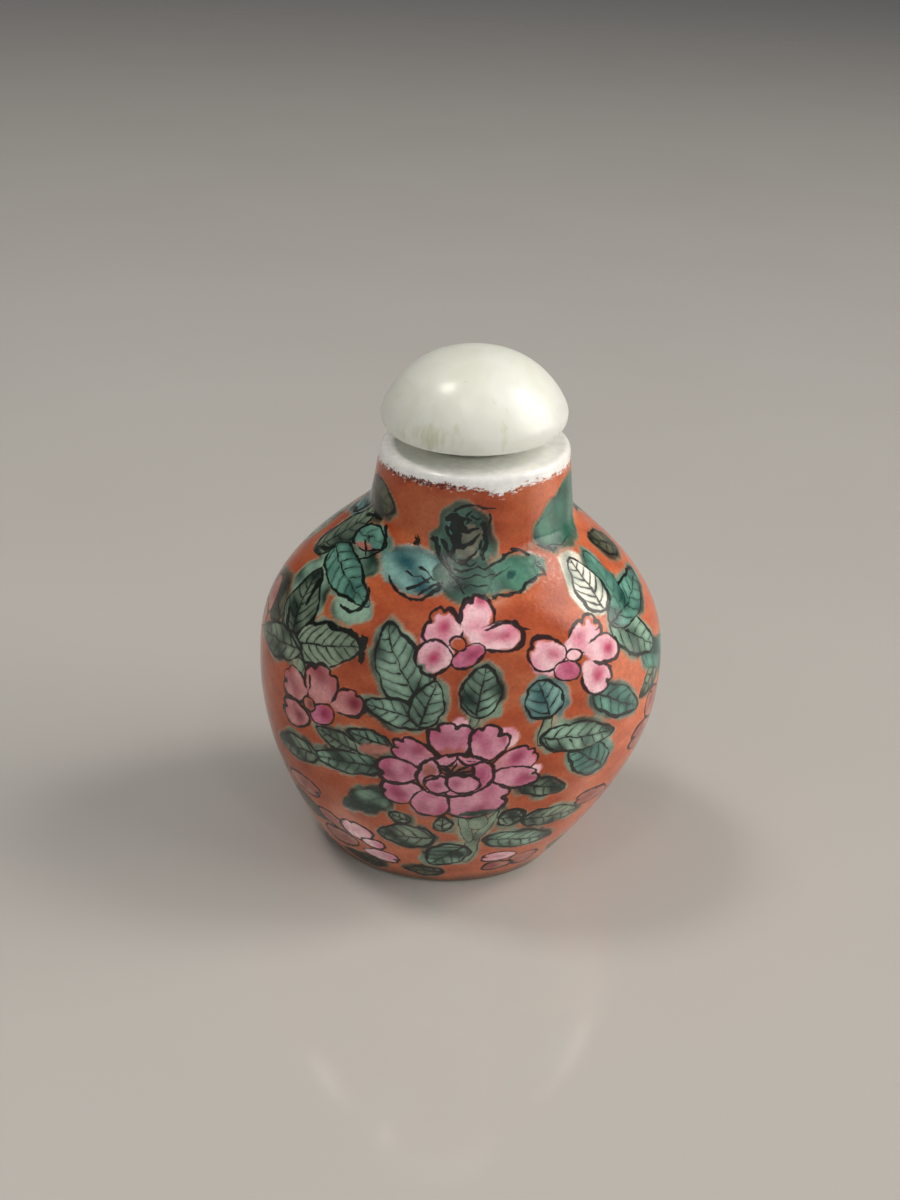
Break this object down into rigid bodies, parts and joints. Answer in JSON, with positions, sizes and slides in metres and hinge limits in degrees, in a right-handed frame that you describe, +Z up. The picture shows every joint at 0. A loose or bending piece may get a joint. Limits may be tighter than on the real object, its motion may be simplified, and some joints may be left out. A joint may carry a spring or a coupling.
{
  "type": "snuff bottle",
  "caption": "Rounded oval porcelain snuff bottle with a short neck, a flat white lip and painted peonies on coral enamel, closed by a low jade dome.",
  "frame": {"origin": "on the ground under the middle of the bottle, at the height of its foot ring", "axes": "+Z up along the bottle, +X across its wider measure, -Y towards the painted front"},
  "size_m": [0.045, 0.036, 0.0594],
  "materials": {
    "porcelain": "glossy overglaze enamel, coral ground with green leaves and pink flowers in dark outlines, white glaze on the lip",
    "jade": "pale celadon white nephrite, polished to a soft shine"
  },
  "bodies": {
    "root": {"bottle": "porcelain", "stopper_cap": "jade"}
  },
  "joints": []
}
